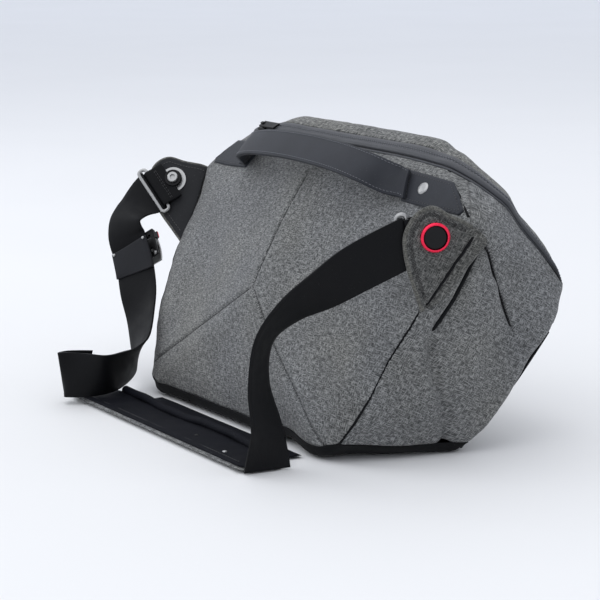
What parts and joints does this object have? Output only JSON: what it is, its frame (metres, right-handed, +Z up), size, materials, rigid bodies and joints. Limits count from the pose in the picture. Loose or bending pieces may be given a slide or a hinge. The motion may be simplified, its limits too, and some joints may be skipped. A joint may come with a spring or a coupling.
{
  "type": "camera sling bag",
  "caption": "Padded camera sling bag on its base, with hinged zip lid, carry handle, pivoting shoulder strap, wings, dividers and front pocket.",
  "frame": {"origin": "middle of the underside of the base, which stands on the floor at z = 0", "axes": "+X along the bag's width, to the wearer's left; +Y to the front pocket; +Z up"},
  "size_m": [0.4516, 0.2858, 0.2339],
  "materials": {
    "heather": "woven heather canvas",
    "black_cloth": "plain black weave",
    "lining": "smooth dark lining",
    "liner_grey": "brushed padded lining",
    "slate": "coated dark slate cloth",
    "zip_cover": "coated zip tape",
    "webbing": "dense smooth webbing",
    "aluminium": "satin",
    "red": "anodised red",
    "black_plastic": "fine satin"
  },
  "bodies": {
    "root": {"adjuster_frame": "black_plastic", "adjuster_pin": "aluminium", "adjuster_rivet_far": "aluminium", "adjuster_rivet_near": "aluminium", "back_panel": "heather", "base_panel": "black_cloth", "carry_strap_lower_left": "webbing", "carry_strap_lower_right": "webbing", "carry_strap_upper_left": "webbing", "carry_strap_upper_right": "webbing", "divider_left": "liner_grey", "divider_right": "liner_grey", "front_panel": "heather", "front_pocket": "heather", "gusset_left": "heather", "gusset_right": "heather", "handle_patch_left": "slate", "handle_patch_right": "slate", "handle_rivet_left": "aluminium", "handle_rivet_right": "aluminium", "handle_strap": "slate", "hub_boss_left": "black_plastic", "hub_boss_right": "black_plastic", "hub_cap_left": "black_plastic", "hub_cap_right": "black_plastic", "hub_ring_left": "red", "hub_ring_right": "red", "hub_screw_left": "aluminium", "hub_screw_right": "aluminium", "hub_washer_left": "aluminium", "hub_washer_right": "aluminium", "interior_liner": "liner_grey", "lid_hinge_piping": "zip_cover", "pad_edge_roll": "lining", "pad_inner_flap": "lining", "pocket_zip_tape": "zip_cover", "strap_pad": "heather", "strap_pad_lining": "lining", "webbing_left_lower": "webbing", "webbing_left_upper": "webbing", "webbing_right": "webbing", "wing_left": "heather", "wing_right": "heather", "zip_tape_body": "zip_cover"},
    "lid": {"lid_shell": "heather", "lid_lining": "lining", "zip_band_lid": "zip_cover"},
    "main_slider": {"main_zip_slider": "black_plastic"},
    "main_pull": {"main_zip_pull": "black_plastic"},
    "pocket_slider": {"pocket_zip_slider": "black_plastic"},
    "pocket_pull": {"pocket_zip_pull": "black_plastic"},
    "divider_flap_left": {"divider_flap_left": "liner_grey"},
    "divider_flap_right": {"divider_flap_right": "liner_grey"},
    "strap_pivot_left": {"connector_left": "webbing", "strap_ring_left": "aluminium"},
    "strap_pivot_right": {"connector_right": "webbing", "strap_ring_right": "aluminium"},
    "adjuster_lever": {"adjuster_lever": "aluminium"},
    "carry_hook_left": {"carry_hook_left": "aluminium"},
    "carry_hook_right": {"carry_hook_right": "aluminium"}
  },
  "joints": [
    {"name": "lid_hinge", "type": "hinge", "parent": "root", "child": "lid", "pos_m": [0, 0.144, 0.1232], "axis": [-1, 0, 0], "range_deg": [0, 110]},
    {"name": "main_zip_slide", "type": "slide", "parent": "root", "child": "main_slider", "axis": [1, 0, 0], "range_m": [0, 0.24]},
    {"name": "main_pull_hinge", "type": "hinge", "parent": "main_slider", "child": "main_pull", "pos_m": [-0.13, 0.05283, 0.22699], "axis": [0, -0.8826, -0.4701], "range_deg": [0, 160]},
    {"name": "pocket_zip_slide", "type": "slide", "parent": "root", "child": "pocket_slider", "axis": [-1, 0, 0], "range_m": [0, 0.155]},
    {"name": "pocket_pull_hinge", "type": "hinge", "parent": "pocket_slider", "child": "pocket_pull", "pos_m": [0.082, 0.13549, 0.07397], "axis": [0, 0.5907, 0.8069], "range_deg": [0, 160]},
    {"name": "divider_flap_left_hinge", "type": "hinge", "parent": "root", "child": "divider_flap_left", "pos_m": [-0.058, 0.04672, 0.10386], "axis": [0, -0.8988, 0.4384], "range_deg": [0, 85]},
    {"name": "divider_flap_right_hinge", "type": "hinge", "parent": "root", "child": "divider_flap_right", "pos_m": [0.058, 0.04672, 0.10386], "axis": [0, 0.8988, -0.4384], "range_deg": [0, 85]},
    {"name": "strap_pivot_left_hinge", "type": "hinge", "parent": "root", "child": "strap_pivot_left", "pos_m": [-0.21147, 0.00829, 0.17174], "axis": [-0.7577, 0.5069, -0.4109], "range_deg": [-25, 30], "deforming": ["webbing_left_upper"]},
    {"name": "strap_pivot_right_hinge", "type": "hinge", "parent": "root", "child": "strap_pivot_right", "pos_m": [0.19005, 0.01076, 0.17516], "axis": [0.9352, -0.3527, -0.03], "range_deg": [-30, 25], "deforming": ["webbing_right"]},
    {"name": "adjuster_lever_hinge", "type": "hinge", "parent": "root", "child": "adjuster_lever", "pos_m": [-0.2265, -0.0213, 0.11611], "axis": [0.7116, 0.4711, 0.5212], "range_deg": [0, 70]},
    {"name": "carry_hook_left_hinge", "type": "hinge", "parent": "root", "child": "carry_hook_left", "pos_m": [-0.15064, 0.07962, 0.01971], "axis": [0.9655, 0.25, -0.073], "range_deg": [0, 100]},
    {"name": "carry_hook_right_hinge", "type": "hinge", "parent": "root", "child": "carry_hook_right", "pos_m": [0.15064, 0.07962, 0.01971], "axis": [0.9655, -0.25, 0.073], "range_deg": [0, 100]}
  ]
}
